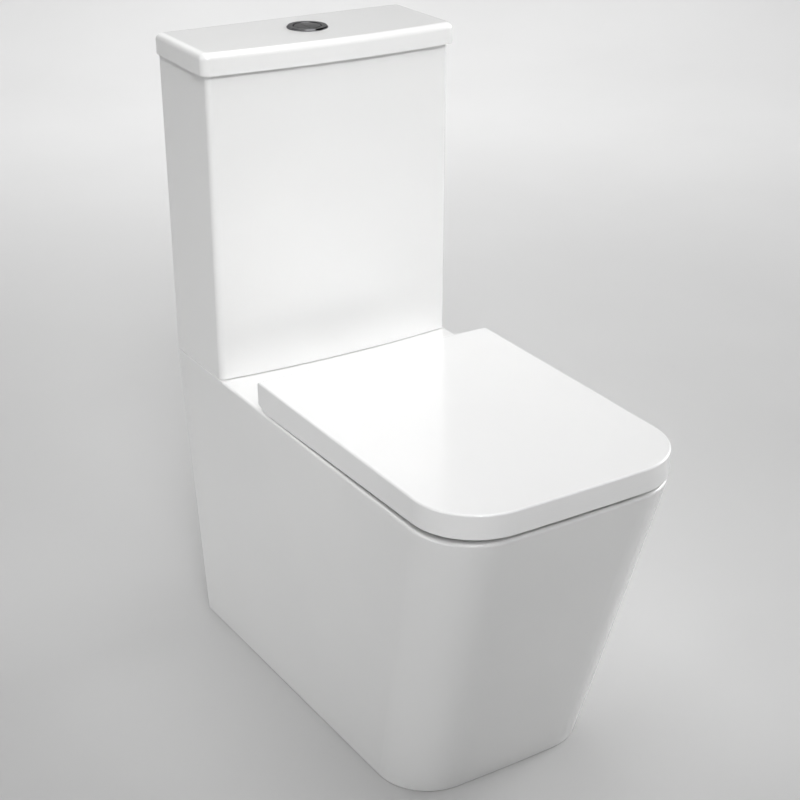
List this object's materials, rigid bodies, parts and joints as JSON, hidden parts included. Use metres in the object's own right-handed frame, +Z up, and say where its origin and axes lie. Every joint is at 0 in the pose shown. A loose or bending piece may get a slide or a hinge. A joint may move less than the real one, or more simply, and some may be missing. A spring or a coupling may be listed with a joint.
{
  "type": "close coupled toilet",
  "caption": "Back-to-wall close coupled toilet: tapered china pan, slim cistern with a dual flush button, hinged seat ring and wrap-over lid.",
  "frame": {"origin": "on the floor, at the middle of the whole object's footprint", "axes": "+Z up, -Y out of the toilet's front, +Y towards the wall, +X to the right of someone facing the toilet"},
  "size_m": [0.3412, 0.646, 0.8126],
  "materials": {
    "china": "white vitreous china with a clear, high gloss glaze",
    "seat_plastic": "white moulded urea, polished",
    "button_chrome": "bright chrome plating on plastic",
    "hinge_chrome": "bright chrome plating on zinc",
    "steel": "plain stainless steel",
    "white_plastic": "white moulded plastic, satin",
    "grey_plastic": "grey moulded plastic, satin",
    "blue_plastic": "blue moulded plastic, satin",
    "black_rubber": "matt moulded rubber",
    "clear_rubber": "translucent white soft rubber"
  },
  "bodies": {
    "root": {"pan": "china", "pan_bowl": "china", "cistern_tank": "china", "cistern_lid": "china", "button_bezel": "button_chrome", "button_ring_nut": "grey_plastic", "flush_valve_washer": "black_rubber", "flush_valve_base": "white_plastic", "flush_valve_nut": "grey_plastic", "coupling_gasket": "black_rubber", "flush_valve_tower": "white_plastic", "lever_pin": "steel", "fill_valve_washer": "black_rubber", "fill_valve_body": "white_plastic", "fill_valve_nut": "grey_plastic", "fill_valve_cap": "white_plastic", "float_arm_pin": "steel", "cistern_bolt_seals": "black_rubber", "cistern_bolt_washers": "steel", "cistern_bolts": "steel", "cistern_under_washers": "steel", "cistern_wing_nuts": "grey_plastic", "tank_pads": "black_rubber", "hinge_posts": "hinge_chrome", "hinge_pins": "steel", "hinge_studs": "steel", "hinge_bushes": "black_rubber", "hinge_wing_nuts": "grey_plastic"},
    "seat": {"toilet_seat": "seat_plastic", "seat_buffers": "clear_rubber"},
    "lid": {"toilet_lid": "seat_plastic", "lid_buffers": "clear_rubber"},
    "full_button": {"full_flush_button": "button_chrome", "full_push_rod": "white_plastic"},
    "half_button": {"half_flush_button": "button_chrome", "half_push_rod": "white_plastic"},
    "full_lever": {"full_flush_lever": "blue_plastic"},
    "half_lever": {"half_flush_lever": "blue_plastic"},
    "half_rod": {"half_flush_rod": "blue_plastic"},
    "flush_piston": {"overflow_tube": "white_plastic", "flush_seal": "black_rubber", "valve_float": "grey_plastic", "lift_yoke": "grey_plastic"},
    "fill_float": {"float_cup": "grey_plastic", "float_link": "white_plastic"},
    "fill_arm": {"float_arm": "grey_plastic"}
  },
  "joints": [
    {"name": "seat_hinge", "type": "hinge", "parent": "root", "child": "seat", "pos_m": [0, 0.092, 0.418], "axis": [-1, 0, 0], "range_deg": [0, 96]},
    {"name": "lid_hinge", "type": "hinge", "parent": "seat", "child": "lid", "pos_m": [0, 0.092, 0.418], "axis": [1, 0, 0], "range_deg": [-98, 0]},
    {"name": "full_button_press", "type": "slide", "parent": "root", "child": "full_button", "axis": [0, 0, -1], "range_m": [0, 0.005], "stiffness_N_per_m": 500, "springref_m": -0.004},
    {"name": "half_button_press", "type": "slide", "parent": "root", "child": "half_button", "axis": [0, 0, -1], "range_m": [0, 0.005], "stiffness_N_per_m": 400, "springref_m": -0.004},
    {"name": "full_lever_tilt", "type": "hinge", "parent": "root", "child": "full_lever", "pos_m": [0, 0.256, 0.656], "axis": [0, 1, 0], "range_deg": [0, 27.5]},
    {"name": "half_lever_tilt", "type": "hinge", "parent": "root", "child": "half_lever", "pos_m": [0, 0.256, 0.656], "axis": [0, -1, 0], "range_deg": [0, 27.5]},
    {"name": "half_rod_lift", "type": "slide", "parent": "root", "child": "half_rod", "axis": [0, 0, 1], "range_m": [0, 0.0064]},
    {"name": "flush_piston_lift", "type": "slide", "parent": "root", "child": "flush_piston", "axis": [0, 0, 1], "range_m": [0, 0.0078]},
    {"name": "fill_float_rise", "type": "slide", "parent": "root", "child": "fill_float", "axis": [0, 0, 1], "range_m": [0, 0.012]},
    {"name": "fill_arm_tilt", "type": "hinge", "parent": "root", "child": "fill_arm", "pos_m": [-0.112, 0.256, 0.723], "axis": [0, -1, 0], "range_deg": [0, 31]}
  ],
  "couplings": [
    {"joint": "full_lever_tilt", "follows": "full_button_press", "rad_per_m": 95.993},
    {"joint": "half_lever_tilt", "follows": "half_button_press", "rad_per_m": 95.993},
    {"joint": "half_rod_lift", "follows": "half_button_press", "ratio": 1.28},
    {"joint": "flush_piston_lift", "follows": "full_button_press", "ratio": 1.56},
    {"joint": "fill_arm_tilt", "follows": "fill_float_rise", "rad_per_m": 45.087}
  ]
}
